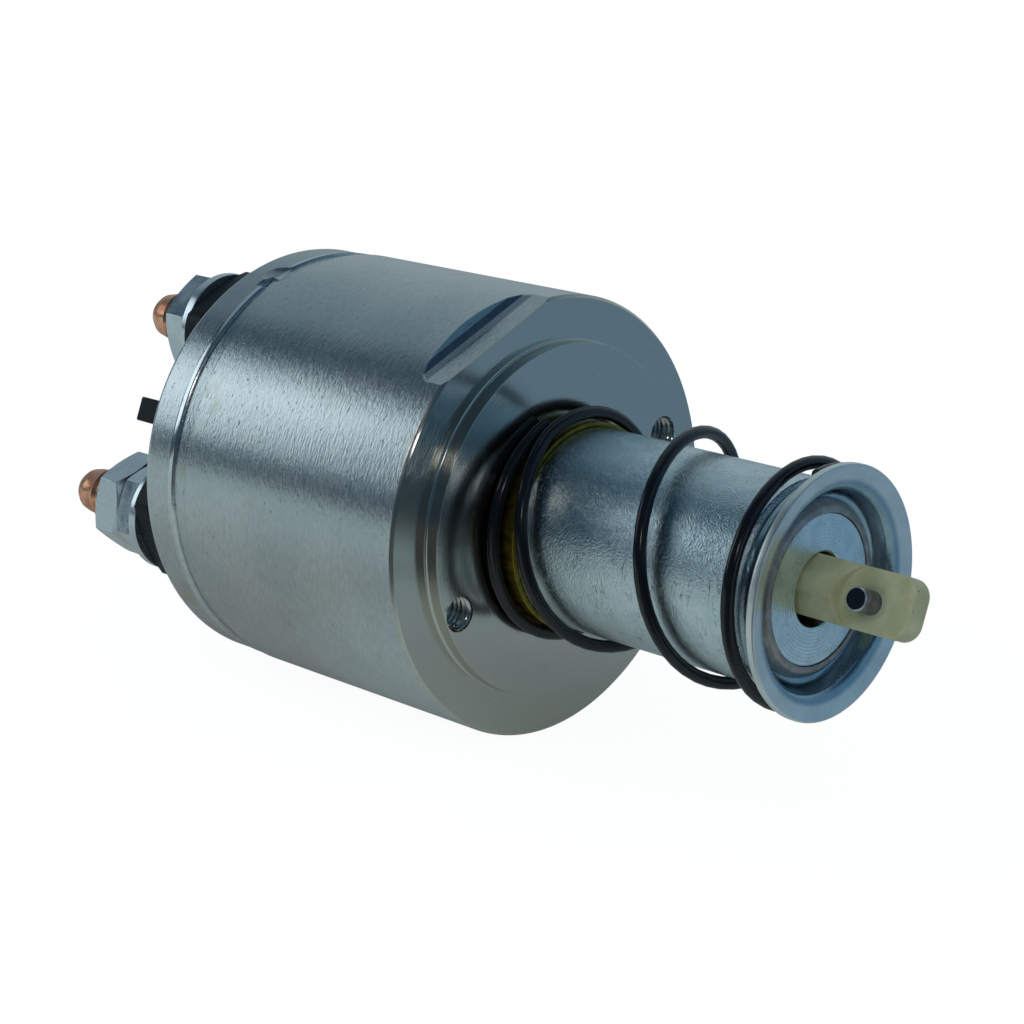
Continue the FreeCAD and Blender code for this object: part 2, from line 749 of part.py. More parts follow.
battery_angle, motor_angle = stud_angles()
pieces = {
    "housing": make_housing(),
    "guide_sleeve": make_sleeve(),
    "bobbin": make_spool(),
    "pull_in_winding": make_winding(winding_inner_radius, winding_split),
    "hold_in_winding": make_winding(winding_split + press_gap, winding_outer_radius),
    "fixed_core": make_core(),
    "cap_seal": make_seal(),
    "terminal_cap": make_cap(),
    "battery_stud": make_stud(battery_angle, battery_nut_back_x, battery_stud_free),
    "motor_stud": make_stud(motor_angle, motor_nut_back_x, motor_stud_free),
    "terminal_washers": make_washers(),
    "terminal_nuts": make_nuts(),
    "battery_lower_nut": make_lower_nut(),
    "coil_terminal": make_blade(),
    "return_spring": make_return_spring(),
    "contact_return_spring": make_opening_spring(),
    "contact_rod": make_contact_rod(),
    "contact_disc": make_contact_disc(),
    "contact_bush": make_bush(),
    "contact_clip": make_clip(),
    "contact_spring": make_contact_spring(),
    "plunger": make_plunger(),
    "nose_retainer": make_retainer(),
    "spring_cup": make_cup(),
    "engagement_spring": make_engagement_spring(),
    "link": make_link(),
    "link_pin": make_pin(),
}

os.makedirs("parts", exist_ok=True)
for name, shape in pieces.items():
    shape.exportStep("parts/" + name + ".step")
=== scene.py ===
import math

import bmesh
import bpy
from mathutils import Matrix, Vector


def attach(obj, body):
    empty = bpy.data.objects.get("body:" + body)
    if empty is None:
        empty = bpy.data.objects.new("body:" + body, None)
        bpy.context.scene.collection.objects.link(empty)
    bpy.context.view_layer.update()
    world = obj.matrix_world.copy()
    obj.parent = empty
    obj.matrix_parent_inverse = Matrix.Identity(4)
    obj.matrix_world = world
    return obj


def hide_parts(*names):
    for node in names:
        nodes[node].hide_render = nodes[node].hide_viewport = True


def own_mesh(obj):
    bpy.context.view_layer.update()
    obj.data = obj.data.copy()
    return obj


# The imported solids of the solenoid, in metres. What is new below is given in millimetres,
# with the centre of the front boss face as origin and +X along the plunger to the link.
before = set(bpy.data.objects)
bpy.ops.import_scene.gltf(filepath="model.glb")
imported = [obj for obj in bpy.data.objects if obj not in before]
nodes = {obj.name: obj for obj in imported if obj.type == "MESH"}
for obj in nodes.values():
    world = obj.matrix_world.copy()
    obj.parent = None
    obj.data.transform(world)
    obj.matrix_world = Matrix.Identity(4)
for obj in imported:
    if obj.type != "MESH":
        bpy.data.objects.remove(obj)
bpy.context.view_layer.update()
scene = bpy.context.scene
MM = 0.001

# Camera. The photograph is taken from the plunger's end, a little above it, with a long
# lens. Its place and tilt come from the rims of the housing.
lens_data = bpy.data.cameras.new("photo_camera")
lens_data.lens = 88.64
lens_data.sensor_width = 36.0
lens_data.shift_x = 0.00897
lens_data.shift_y = -0.03787
lens_data.clip_start = 0.01
camera = bpy.data.objects.new("photo_camera", lens_data)
scene.collection.objects.link(camera)
sight = Matrix(((0.721828, -0.187927, 0.666069),
                (0.692072, 0.196007, -0.694706),
                (0.0, 0.962426, 0.271542)))
camera.matrix_world = Matrix.Translation(Vector((216.015, -237.192, 97.035)) * MM) @ sight.to_4x4()
scene.camera = camera
scene.view_settings.view_transform = "Standard"


# Studio. A white sheet lies under the part in a room that is pale behind it and unlit in
# front of it, as the bright metal shows. One soft box at the left lights the flank, and a
# small one by the camera glints on the turned edges.
class Value:
    """The output of a shader node, with arithmetic that adds its Math nodes."""

    def __init__(self, tree, socket):
        self.tree = tree
        self.socket = socket

    def math(self, operation, *terms, flip=False):
        """One Math node on this value and the terms."""
        order = (*terms, self) if flip else (self, *terms)
        return add_node(self.tree, "ShaderNodeMath", {"operation": operation}, dict(enumerate(order)))

    def __add__(self, other):
        return self.math("ADD", other)

    def __sub__(self, other):
        return self.math("SUBTRACT", other)

    def __rsub__(self, other):
        return self.math("SUBTRACT", other, flip=True)

    def __mul__(self, other):
        return self.math("MULTIPLY", other)

    def __pow__(self, other):
        return self.math("POWER", other)

    __radd__ = __add__
    __rmul__ = __mul__

    def band(self, low, high):
        """0 below low, 1 above high, and a soft step between."""
        return add_node(self.tree, "ShaderNodeMapRange", {"interpolation_type": "SMOOTHSTEP"},
                        {"Value": self, "From Min": low, "From Max": high})

    def blend(self, first, second):
        """The colour that lies this far from the first colour to the second."""
        return add_node(self.tree, "ShaderNodeMix", {"data_type": "RGBA"},
                        {0: self, 6: opaque(first), 7: opaque(second)}, 2)


def opaque(colour):
    """A colour with full alpha, or a value as it is."""
    return colour if isinstance(colour, Value) or len(colour) == 4 else (*colour, 1.0)


def add_node(tree, kind, settings=None, sockets=None, output=0):
    """A node of a kind, with its settings first and then the values or links of its sockets."""
    node = tree.nodes.new(kind)
    for name, value in (settings or {}).items():
        setattr(node, name, value)
    for name, value in (sockets or {}).items():
        if isinstance(value, Value):
            tree.links.new(value.socket, node.inputs[name])
        else:
            node.inputs[name].default_value = value
    return Value(tree, node.outputs[output])


def ray_kinds(tree):
    """Whether a ray is the camera's own, a reflected one or one that went through."""
    return [add_node(tree, "ShaderNodeLightPath", output=kind) for kind in (0, 3, 6)]


def soft_box(name, place, size, power, tint):
    """A soft box that points at the middle of the housing's front."""
    lamp = bpy.data.lights.new(name, "AREA")
    lamp.shape = "RECTANGLE"
    lamp.size, lamp.size_y = size
    lamp.energy = power
    lamp.color = tint
    box = bpy.data.objects.new(name, lamp)
    scene.collection.objects.link(box)
    box.location = place
    box.rotation_euler = (-Vector(place)).to_track_quat("-Z", "Y").to_euler()
    box.visible_camera = False


room = bpy.data.worlds.new("studio_room")
room.use_nodes = True
scene.world = room
tree = room.node_tree
tree.nodes.clear()
camera_ray, glossy_ray, clear_ray = ray_kinds(tree)
toward = add_node(tree, "ShaderNodeTexCoord")
side, depth, height = [
    add_node(tree, "ShaderNodeSeparateXYZ", None, {0: toward}, axis) for axis in range(3)]
backdrop = depth.band(0.0, 0.9).blend((0.20, 0.27, 0.31), (0.36, 0.44, 0.47))
far_end = height.band(0.4, 0.85).blend((0.14, 0.26, 0.36), (0.02, 0.05, 0.10))
backdrop = side.band(-0.1, 0.45).blend(backdrop, far_end)
mirrored = depth.band(-0.09, -0.01).blend((0.03, 0.06, 0.09), backdrop)
soft_light = depth.band(-0.9, 0.9).blend((0.48, 0.58, 0.60), (0.18, 0.24, 0.27))
shown = glossy_ray.math("MAXIMUM", clear_ray).blend(soft_light, mirrored)
shown = camera_ray.blend(shown, (1.0, 1.0, 1.0))
light = add_node(tree, "ShaderNodeBackground", None, {"Color": shown, "Strength": 1.0})
tree.links.new(light.socket, tree.nodes.new("ShaderNodeOutputWorld").inputs["Surface"])

soft_box("left_soft_box", (-0.732, -0.407, 0.330), (0.39, 0.432), 0.69, (0.85, 0.97, 1.0))
soft_box("right_soft_box", (0.62, -0.49, 0.42), (0.11, 0.11), 0.24, (1.0, 0.97, 0.93))

bpy.ops.object.select_all(action="DESELECT")
sheet_height = -30.3
bpy.ops.mesh.primitive_plane_add(size=4.0, location=(0, 0, sheet_height * MM))
sheet = bpy.context.object
sheet.name = "white_sheet"
bpy.ops.object.transform_apply(location=True)
paper = bpy.data.materials.new("white_paper")
paper.use_nodes = True
tree = paper.node_tree
tree.nodes.clear()
camera_ray, glossy_ray, clear_ray = ray_kinds(tree)
spot = add_node(tree, "ShaderNodeTexCoord", output=3)
along, across = [add_node(tree, "ShaderNodeSeparateXYZ", None, {0: spot}, axis) for axis in range(2)]
# Only reflections see these sheet tones; other rays see the sheet plain and pale. Beyond the part the sheet
# turns blue, a painted reflection of the darker room on that side.
beyond = (along + across).band(0.0, 0.2)
# Painted shade: near the part the sheet is darker and warmer.
shaded = (along + across).band(-0.25, -0.08) * along.band(-0.02, -0.05)
near = shaded.blend((0.92, 0.94, 0.90), (0.70, 0.66, 0.62))
tone = beyond.blend(near, (0.42, 0.56, 0.74))
# Painted shade: a near-black patch on the sheet in front of the part, toward the camera.
tone = (along.band(0.015, 0.05) * across.band(-0.01, -0.05)).blend(tone, (0.05, 0.07, 0.09))
tone = glossy_ray.blend((0.80, 0.81, 0.80), tone)
glow_seen = 0.05 * (1 - beyond)
matt = add_node(tree, "ShaderNodeBsdfDiffuse", None, {"Color": tone})
glow = add_node(tree, "ShaderNodeEmission", None, {"Color": (1.0, 1.0, 1.0, 1.0), "Strength": 1.18})
seen = 0.8 * camera_ray + glow_seen * glossy_ray.math("MAXIMUM", clear_ray)
lit = add_node(tree, "ShaderNodeMixShader", None, {0: seen, 1: matt, 2: glow})
tree.links.new(lit.socket, tree.nodes.new("ShaderNodeOutputMaterial").inputs["Surface"])
sheet.data.materials.append(paper)


# Housing. A pot turned from steel bar and zinc plated, with a raised boss, two M5 holes
# and a milled flat; its thin rear skirt is rolled over the terminal cap.
class Finish:
    """A surface finish: one Principled shader and the nodes that feed it."""

    def __init__(self, name, roughness, metallic=0.0, **constants):
        self.material = bpy.data.materials.new(name)
        self.material.use_nodes = True
        self.tree = self.material.node_tree
        self.shader = self.tree.nodes["Principled BSDF"]
        self.shader.inputs["Roughness"].default_value = roughness
        self.shader.inputs["Metallic"].default_value = metallic
        for socket, value in constants.items():
            self.shader.inputs[socket.replace("_", " ")].default_value = value
        self.place = self.add("ShaderNodeTexCoord", output=3)
        self.x, self.y, self.z = [
            self.add("ShaderNodeSeparateXYZ", None, {0: self.place}, axis) * 1000.0 for axis in range(3)]
        self.radius = (self.y ** 2.0 + self.z ** 2.0) ** 0.5

    def add(self, kind, settings=None, sockets=None, output=0):
        """A node in this finish."""
        return add_node(self.tree, kind, settings, sockets, output)

    def noise(self, x, y, z, detail=2.0, roughness=0.5):
        """Noise from 0 to 1, one cell for each unit of the three values."""
        where = self.add("ShaderNodeCombineXYZ", None, {0: x, 1: y, 2: z})
        return self.add("ShaderNodeTexNoise", None, {"Vector": where, "Scale": 1.0, "Detail": detail,
                                                     "Roughness": roughness})

    def mottle(self, cells, detail=2.0, roughness=0.5, shift=0.0):
        """Even noise from 0 to 1, with a number of cells in each millimetre."""
        return self.noise(self.x * cells + shift, self.y * cells, self.z * cells, detail, roughness)

    def feed(self, socket, value):
        """Links a value to one of the shader's sockets."""
        self.tree.links.new(value.socket, self.shader.inputs[socket])

    def relief(self, height):
        """Bumps from a height in millimetres."""
        self.feed("Normal", self.add("ShaderNodeBump", None, {"Height": height, "Distance": MM,
                                                              "Strength": 1.0}))

    def paint(self, piece):
        """Puts this finish on the piece in place of what it had."""
        piece.data.materials.clear()
        piece.data.materials.append(self.material)


def apply_modifier(piece, modifier):
    """Makes a modifier's result the piece's own mesh."""
    bpy.context.view_layer.objects.active = piece
    bpy.ops.object.modifier_apply(modifier=modifier.name)


def only(piece):
    """Selects one piece and nothing else."""
    bpy.ops.object.select_all(action="DESELECT")
    piece.select_set(True)
    bpy.context.view_layer.objects.active = piece


def pick(piece, wanted):
    """Selects the vertices in edit mode that a test wants."""
    bpy.ops.mesh.select_all(action="DESELECT")
    bpy.ops.mesh.select_mode(type="VERT")
    mesh = bmesh.from_edit_mesh(piece.data)
    for vertex in mesh.verts:
        if wanted(vertex):
            vertex.select = True
    mesh.select_flush(True)
    bmesh.update_edit_mesh(piece.data)


def turned(name, corners, steps=128):
    """A piece spun round the X axis from its (x, radius) corners, with a third value to round one."""
    bpy.ops.object.select_all(action="DESELECT")
    bpy.ops.mesh.primitive_plane_add(size=MM)
    piece = bpy.context.object
    piece.name = name
    bpy.ops.object.mode_set(mode="EDIT")
    bpy.ops.mesh.merge(type="CENTER")
    last = (0.0, 0.0)
    for index, corner in enumerate((*corners, corners[0])):
        step = ((corner[0] - last[0]) * MM, 0, (corner[1] - last[1]) * MM)
        if index:
            bpy.ops.mesh.extrude_region_move(TRANSFORM_OT_translate={"value": step})
        else:
            bpy.ops.transform.translate(value=step)
        last = corner
    bpy.ops.mesh.select_all(action="SELECT")
    bpy.ops.mesh.remove_doubles(threshold=1e-7)
    for corner in corners:
        if len(corner) > 2:
            pick(piece, lambda v, c=corner: (v.co - Vector((c[0], 0, c[1])) * MM).length < 1e-7)
            bpy.ops.mesh.bevel(offset=corner[2] * MM, segments=5, affect="VERTICES")
    bpy.ops.mesh.select_all(action="SELECT")
    bpy.ops.mesh.spin(steps=steps, angle=2 * math.pi, center=(0, 0, 0), axis=(1, 0, 0))
    bpy.ops.mesh.select_all(action="SELECT")
    bpy.ops.mesh.remove_doubles(threshold=1e-7)
    bpy.ops.mesh.normals_make_consistent(inside=False)
    bpy.ops.object.mode_set(mode="OBJECT")
    return piece


def place_piece(piece, x=0.0, y=0.0, z=0.0, turn=0.0):
    """Turns a piece about X, moves it, and makes that its mesh's own place."""
    only(piece)
    piece.location = Vector((x, y, z)) * MM
    piece.rotation_euler = (math.radians(turn), 0, 0)
    bpy.ops.object.transform_apply(location=True, rotation=True, scale=True)


def cut(piece, cutter):
    """Takes a cutter's shape out of a piece."""
    modifier = piece.modifiers.new("cut", "BOOLEAN")
    modifier.operation = "DIFFERENCE"
    modifier.object = cutter
    apply_modifier(piece, modifier)
    bpy.data.objects.remove(cutter)


def shade(piece, limit):
    """Shades smooth up to an angle, with the broad faces keeping their own direction."""
    only(piece)
    bpy.ops.object.shade_smooth_by_angle(angle=math.radians(limit))
    even = piece.modifiers.new("faces", "WEIGHTED_NORMAL")
    even.weight = 100
    even.keep_sharp = True
    apply_modifier(piece, even)


def soften(piece, width, segments=2, limit=30):
    """Breaks the sharp edges a little and shades the faces between them smooth."""
    modifier = piece.modifiers.new("edges", "BEVEL")
    modifier.width = width * MM
    modifier.segments = segments
    modifier.limit_method = "ANGLE"
    modifier.angle_limit = math.radians(limit)
    apply_modifier(piece, modifier)
    shade(piece, limit)


def fit(piece, body, slot, *replaced):
    """Lets a piece ride on its body in place of CAD nodes."""
    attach(piece, body)
    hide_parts(*replaced)


housing = turned("housing_pot", [
    (0, 14.03), (0, 23.95, 0.12), (-2.05, 23.95, 0.4), (-2.05, 29.6), (-2.45, 30.0),
    (-15.0, 30.0), (-42.5, 30.0, 0.1), (-42.75, 29.2), (-43.05, 29.15), (-43.2, 29.35), (-45.35, 29.42),
    (-45.55, 29.84), (-46.3, 29.74), (-51.75, 29.75, 1.2), (-51.75, 26.9, 0.25), (-50.35, 26.9),
    (-50.35, 28.6), (-41.0, 28.6), (-41.0, 27.0), (-10.0, 27.0), (-10.0, 14.03)], steps=192)

roll = 22.4
flat_length, flat_height, mill_height = 7.15, 28.0, 8.0
bpy.ops.object.select_all(action="DESELECT")
bpy.ops.mesh.primitive_cube_add(size=1)
mill = bpy.context.object
mill.scale = Vector((flat_length, 80.0, mill_height)) * MM
mill.location = Vector((-flat_length / 2, 0, flat_height + mill_height / 2)) * MM
bpy.ops.object.transform_apply(location=True, scale=True)
bpy.ops.object.mode_set(mode="EDIT")
pick(mill, lambda v: v.co.x < -7 * MM and v.co.z < 28.1 * MM)
bpy.ops.mesh.bevel(offset=1.9 * MM, segments=3, affect="EDGES")
bpy.ops.object.mode_set(mode="OBJECT")
place_piece(mill, turn=roll)
cut(housing, mill)

skirt_radius = 29.8
bpy.ops.object.select_all(action="DESELECT")
bpy.ops.mesh.primitive_uv_sphere_add(segments=64, ring_count=32, radius=5.0 * MM)
dish = bpy.context.object
dish.location = Vector((-45.8, 0, skirt_radius + 4.3)) * MM
bpy.ops.object.transform_apply(location=True)
place_piece(dish, turn=18.0)
cut(housing, dish)
punch = turned("punch", [(0.9, 0.0), (0.9, 2.6, 0.25), (-0.9, 2.6, 0.25), (-0.9, 0.0)], steps=48)
punch.location = Vector((-46.2, 0, skirt_radius + 1.62)) * MM
bpy.ops.object.transform_apply(location=True)
place_piece(punch, turn=21.0)
cut(housing, punch)
soften(housing, 0.1, limit=20)

hole_circle = 21.45
m5_pitch, outer, inner = 0.8, 2.44, 2.05
for angle in (math.radians(roll), math.radians(roll + 180.0)):
    thread = [(1.0, 0.0), (1.0, outer)]
    for turn in range(9):
        start = -0.5 - m5_pitch * turn
        thread += [(start, outer), (start - 0.3, inner), (start - 0.4, inner), (start - 0.7, outer)]
    tap = turned("tap", thread + [(-8.6, inner), (-8.6, 0.0)], steps=64)
    place_piece(tap, y=hole_circle * math.cos(angle), z=hole_circle * math.sin(angle))
    cut(housing, tap)
shade(housing, 20)

steel = Finish("plated_pot_steel", 0.22, 1.0)
feed_line = steel.x + steel.radius
flange = steel.x.band(-2.4, -2.2) * steel.x.band(-1.5, -1.8)
bead = steel.x.band(-46.5, -46.3) * steel.x.band(-45.4, -45.5)
lip = steel.x.band(-46.2, -46.5) * steel.y.band(-22.0, -14.0)
lathe = steel.noise(feed_line * 7.0, steel.y * 0.04, steel.z * 0.04, 1.0)
grain = steel.noise(
    feed_line * 2.6, steel.y * 0.9 + steel.x * 0.33, steel.z * 0.9 + steel.x * 0.21, 3.0, 0.6)
pit = steel.noise(feed_line * 2.4, steel.y, steel.z, 1.0).band(0.70, 0.80)
cloud = steel.mottle(0.08, 2.0)
bare = cloud.band(0.35, 0.65).blend((0.55, 0.60, 0.62), (0.61, 0.65, 0.66))
bare = steel.mottle(0.13, 3.0, 0.6, 40.0).band(0.60, 0.78).blend(bare, (0.50, 0.49, 0.44))
# Painted shade: the rolled lip is darker where it turns away from the camera and the left soft box.
bare = (lip * 0.5).blend(bare, (0.26, 0.32, 0.36))
# Painted highlight: a pale line along the bead in front of the rolled lip.
bare = (bead * 0.35).blend(bare, (0.95, 0.97, 0.97))
bare = steel.x.band(-2.6, -2.3).blend(bare, (0.61, 0.60, 0.55))
# Painted shade: the curved rear wall of the milled flat is darkened.
flat_wall_shade = steel.x.band(-5.0, -5.3) * steel.radius.band(29.95, 29.85) * steel.x.band(-9.5, -9.0)
bare = (flat_wall_shade * 0.75).blend(bare, (0.16, 0.22, 0.28))
bare = (grain.band(0.62, 0.36) * steel.x.band(-2.1, -2.4) * 0.22).blend(bare, (0.24, 0.28, 0.32))
steel.feed("Base Color", (pit * 0.25).blend(bare, (0.10, 0.13, 0.17)))
plain = (1 - bead) * steel.x.band(-2.1, -2.4)
steel.feed("Roughness", 0.14 + plain * 0.11 + (grain - 0.5) * plain * 0.14)
off_streak = (steel.y * 0.5 + steel.z * 0.866).math("ABSOLUTE")
streak = off_streak.band(6.0, 1.0) * flange
steel.relief(lathe * (0.008 + streak * 0.12) + (grain * 0.04 - pit * 0.03) * plain)
steel.paint(housing)
fit(housing, "body", "housing_steel", "housing")


# Guide sleeve. A drawn brass tube pressed into the boss, dull and olive with age; the
# plunger runs in it and the spool sits on it.
sleeve = turned("brass_sleeve", [(3.9, 13.47), (3.9, 14.0, 0.2), (-40.9, 14.0), (-40.9, 13.47)])
soften(sleeve, 0.05)
brass = Finish("aged_sleeve_brass", 0.35, 1.0)
dull = brass.mottle(0.9, 3.0)
brass.feed("Base Color", dull.band(0.3, 0.7).blend((0.20, 0.138, 0.018), (0.33, 0.24, 0.04)))
brass.feed("Roughness", 0.28 + dull * 0.2)
brass.relief(brass.mottle(1.6) * 0.02)
brass.paint(sleeve)
fit(sleeve, "body", "sleeve_brass", "guide_sleeve")


# Spool and windings. A moulded nylon spool, with the enamelled copper wire of the hold-in
# winding outside that of the pull-in winding.
spool_nylon = Finish("dark_spool_nylon", 0.5)
spool_nylon.feed("Base Color", spool_nylon.mottle(0.4).blend((0.09, 0.075, 0.06), (0.14, 0.12, 0.10)))
spool_nylon.paint(nodes["bobbin"])
spool_nylon.paint(nodes["contact_bush"])

enamel = Finish("enamelled_wire", 0.25, 0.9)
wires = enamel.add("ShaderNodeTexWave", {"bands_direction": "X"}, {"Vector": enamel.place, "Scale": 330.0,
                                                                  "Distortion": 0.4})
enamel.feed("Base Color", wires.blend((0.30, 0.09, 0.03), (0.66, 0.27, 0.10)))
enamel.relief(wires * 0.25)
enamel.paint(nodes["pull_in_winding"])
enamel.paint(nodes["hold_in_winding"])


# Fixed core and seal. The core is turned from soft iron and the disc behind it closes the
# iron circuit; a rubber ring lies between the disc and the cap.
iron = Finish("turned_soft_iron", 0.35, 1.0)
lathe = iron.noise((iron.x + iron.radius) * 6.0, 0.0, 0.0)
iron.feed("Base Color", lathe.blend((0.36, 0.37, 0.39), (0.48, 0.49, 0.51)))
iron.relief(lathe * 0.02)
iron.paint(nodes["fixed_core"])
iron.paint(nodes["contact_rod"])

rubber = Finish("black_seal_rubber", 0.75)
rubber.feed("Base Color", rubber.mottle(2.5).blend((0.02, 0.02, 0.02), (0.04, 0.04, 0.045)))
rubber.paint(nodes["cap_seal"])


# Contact set. A copper disc on an insulating bush, held on the rod by a ring, with one
# spring behind it for pressure and one that opens it again.
copper = Finish("bare_copper", 0.25, 1.0)
stain = copper.mottle(0.6, 4.0, 0.6).band(0.35, 0.7)
copper.feed("Base Color", stain.blend((0.94, 0.47, 0.29), (0.68, 0.28, 0.16)))
copper.feed("Roughness", 0.2 + stain * 0.2)
copper.relief(copper.mottle(2.0) * 0.015)
copper.paint(nodes["contact_disc"])

wire = Finish("bright_spring_wire", 0.3, 1.0)
wire.feed("Base Color", wire.mottle(1.5).blend((0.34, 0.34, 0.36), (0.52, 0.52, 0.54)))
wire.paint(nodes["contact_spring"])
wire.paint(nodes["contact_return_spring"])
wire.paint(nodes["contact_clip"])
wire.paint(nodes["engagement_spring"])


# Terminal cap. A black phenolic moulding with a pedestal under each stud and a barrier
# between them, clamped by the housing's rolled lip.
def broad_copy(name, node):
    """A copy of a CAD node's mesh in which each flat side is one face again."""
    piece = bpy.data.objects.new(name, nodes[node].data.copy())
    scene.collection.objects.link(piece)
    only(piece)
    bpy.ops.object.mode_set(mode="EDIT")
    bpy.ops.mesh.select_all(action="SELECT")
    bpy.ops.mesh.customdata_custom_splitnormals_clear()
    bpy.ops.mesh.remove_doubles(threshold=1e-7)
    bpy.ops.mesh.dissolve_limited(angle_limit=math.radians(2))
    bpy.ops.object.mode_set(mode="OBJECT")
    return piece


cap = broad_copy("phenolic_cap", "terminal_cap")
soften(cap, 0.45, segments=3, limit=40)
phenolic = Finish("black_phenolic", 0.42, 0.0, Specular_IOR_Level=0.2)
flow = phenolic.mottle(0.7, 3.0)
phenolic.feed("Base Color", flow.blend((0.003, 0.004, 0.008), (0.010, 0.013, 0.020)))
phenolic.feed("Roughness", 0.32 + flow * 0.2)
phenolic.relief(flow * 0.03)
phenolic.paint(cap)
fit(cap, "body", "cap_plastic", "terminal_cap")


# Terminal studs. Turned from copper with an M8 thread and a ball end; each is pulled
# against the cap by its nut, and the battery stud carries two nuts.
stud_places = {"battery": (-18.214, -7.507), "motor": (-7.507, 18.214)}
stud_tips = {"battery": -80.15, "motor": -74.45}
m8_pitch, outer, inner, thread_start = 1.25, 3.98, 3.45, -58.0
for terminal, (y, z) in stud_places.items():
    tip = stud_tips[terminal]
    corners = [(-52.0, 0.0), (-52.0, 5.0, 0.4), (-54.5, 5.0), (-54.5, 4.0)]
    for turn in range(round((thread_start - tip - 5.4) / m8_pitch)):
        start = thread_start - turn * m8_pitch
        corners += [(start - 0.12, outer), (start - 0.56, inner), (start - 0.75, inner), (start - 1.19, outer)]
    corners += [(tip + 4.8, 3.35), (tip + 3.3, 3.35), (tip + 2.0, 3.1), (tip + 1.05, 2.48),
                (tip + 0.4, 1.6), (tip + 0.08, 0.7), (tip, 0.0)]
    stud = turned(terminal + "_copper_stud", corners, steps=64)
    place_piece(stud, y=y, z=z)
    soften(stud, 0.04)
    copper.paint(stud)
    fit(stud, "body", "stud_copper", terminal + "_stud")


# Nuts and washers. M8 hexagon nuts and plain washers of steel with a blue zinc plate,
# 13 mm across flats.
zinc = Finish("blue_zinc_plate", 0.26, 1.0)
tarnish = zinc.mottle(0.26, 4.0, 0.6).band(0.3, 0.7)
zinc.feed("Base Color", tarnish.blend((0.60, 0.68, 0.74), (0.76, 0.82, 0.86)))
zinc.feed("Roughness", 0.18 + tarnish * 0.14)
zinc.relief(zinc.mottle(1.1, 3.0) * 0.015)


def hexagon_nut(name, x, height, angle, y, z):
    """A nut chamfered at both ends, from its face nearest the housing."""
    across_flats = 13
    bpy.ops.object.select_all(action="DESELECT")
    bpy.ops.mesh.primitive_cylinder_add(vertices=6, radius=across_flats / math.sqrt(3) * MM,
                                        depth=height * MM, rotation=(0, math.pi / 2, 0))
    nut = bpy.context.object
    nut.name = name
    bpy.ops.object.transform_apply(rotation=True)
    crown = turned("crown", [(height / 2, 0), (height / 2, 6.1), (height / 2 - 1.0, 7.7),
                             (-height / 2 + 1.0, 7.7), (-height / 2, 6.1), (-height / 2, 0)], steps=96)
    both = nut.modifiers.new("chamfer", "BOOLEAN")
    both.operation = "INTERSECT"
    both.object = crown
    apply_modifier(nut, both)
    bpy.data.objects.remove(crown)
    bore = turned("bore", [(height, 0), (height, 4.9), (height / 2, 4.9), (height / 2 - 0.8, 4.05),
                           (-height / 2 + 0.8, 4.05), (-height / 2, 4.9), (-height, 4.9),
                           (-height, 0)], steps=48)
    cut(nut, bore)
    place_piece(nut, x=x - height / 2, y=y, z=z, turn=angle)
    soften(nut, 0.12)
    zinc.paint(nut)
    return nut


battery_y, battery_z = stud_places["battery"]
motor_y, motor_z = stud_places["motor"]
upper = hexagon_nut("battery_upper_nut", -64.55, 5.4, 20.0, battery_y, battery_z)
motor_nut = hexagon_nut("motor_terminal_nut", -60.15, 5.2, 40.0, motor_y, motor_z)
lower = hexagon_nut("battery_thin_nut", -60.15, 4.4, 14.0, battery_y, battery_z)
fit(upper, "body", "zinc_steel", "terminal_nuts")
fit(motor_nut, "body", "zinc_steel", "terminal_nuts")
fit(lower, "body", "zinc_steel", "battery_lower_nut")
for terminal, (y, z) in stud_places.items():
    washer = turned(terminal + "_washer", [
        (-58.65, 4.05), (-58.65, 8.0), (-60.15, 8.0), (-60.15, 4.05)])
    place_piece(washer, y=y, z=z)
    soften(washer, 0.15)
    zinc.paint(washer)
    fit(washer, "body", "zinc_steel", "terminal_washers")


# Coil blade. A tinned brass push-on blade, moulded into the cap on the side that faces
# away from the studs.
tin = Finish("tinned_blade", 0.35, 1.0)
tin.feed("Base Color", tin.mottle(0.6, 3.0).blend((0.60, 0.57, 0.48), (0.78, 0.76, 0.70)))
tin.relief(tin.mottle(1.2, 3.0) * 0.02)
tin.paint(nodes["coil_terminal"])


# Plunger. Turned from soft steel and zinc plated, with the blue, dented and scratched
# shine of a barrel-plated part; its nose is peened over the cup and the disc.
plunger = turned("plunger_body", [
    (-17.5, 0.0), (-17.5, 12.8), (-16.9, 13.4), (39.0, 13.4), (39.6, 12.8), (39.6, 10.8),
    (40.83, 10.8), (40.83, 11.3), (41.3, 11.3, 0.3), (42.2, 10.4, 0.3), (42.2, 9.63), (39.5, 9.63),
    (39.5, 8.4), (2.0, 8.4), (0.8, 0.0)], steps=192)
soften(plunger, 0.08)
plate = Finish("barrel_zinc_plate", 0.12, 1.0)
nose = plate.x.band(40.7, 41.0)
dents = plate.mottle(1.2, 2.0, 0.6)
fine = plate.mottle(3.4, 3.0, 0.65, 20.0)
speck = fine.band(0.55, 0.72)
patch = plate.noise(plate.x * 0.3, plate.y * 0.5, plate.z * 0.5, 3.0, 0.6).band(0.35, 0.65)
smudge = plate.noise(plate.x * 0.35 + 7.0, plate.y * 0.9, plate.z * 0.9, 3.0, 0.7).band(0.66, 0.72)
scratch = plate.noise(plate.x * 0.5 + plate.y * 1.5, plate.y * 0.5 - plate.x * 1.5, plate.z * 0.3, 1.0)
scratch = (scratch - 0.5).math("ABSOLUTE").band(0.014, 0.0)
scratch = scratch * plate.mottle(0.5, 1.0, 0.5, 60.0).band(0.5, 0.6)
clean = patch.blend((0.60, 0.72, 0.78), (0.70, 0.81, 0.86))
clean = (speck * 0.6).blend(clean, (0.95, 0.98, 1.0))
